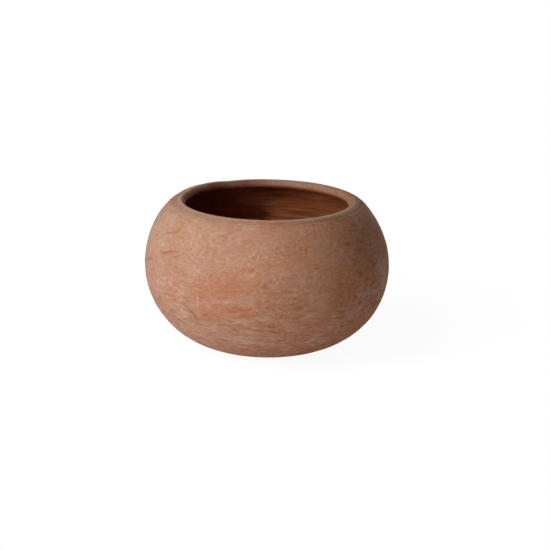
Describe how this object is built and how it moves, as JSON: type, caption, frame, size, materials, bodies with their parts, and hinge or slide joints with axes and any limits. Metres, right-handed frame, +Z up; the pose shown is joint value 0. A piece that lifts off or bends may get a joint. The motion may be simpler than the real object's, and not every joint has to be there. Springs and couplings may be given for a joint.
{
  "type": "bowl planter",
  "caption": "Squat round terracotta planter bowl with an incurved shoulder, a wide mouth with a rolled lip, a flat foot and a central drain hole.",
  "frame": {"origin": "centre of the foot, on the ground", "axes": "+Z up along the axis that the pot is turned about; +X to the right and -Y towards the viewer in the picture"},
  "size_m": [0.4999, 0.5, 0.3],
  "materials": {
    "terracotta": "unglazed, matt, with a pale bloom and fine wiping marks outside and a darker red-brown inside"
  },
  "bodies": {
    "root": {"floor_slab": "terracotta", "lower_wall": "terracotta", "upper_wall": "terracotta", "rim_coil": "terracotta"}
  },
  "joints": []
}
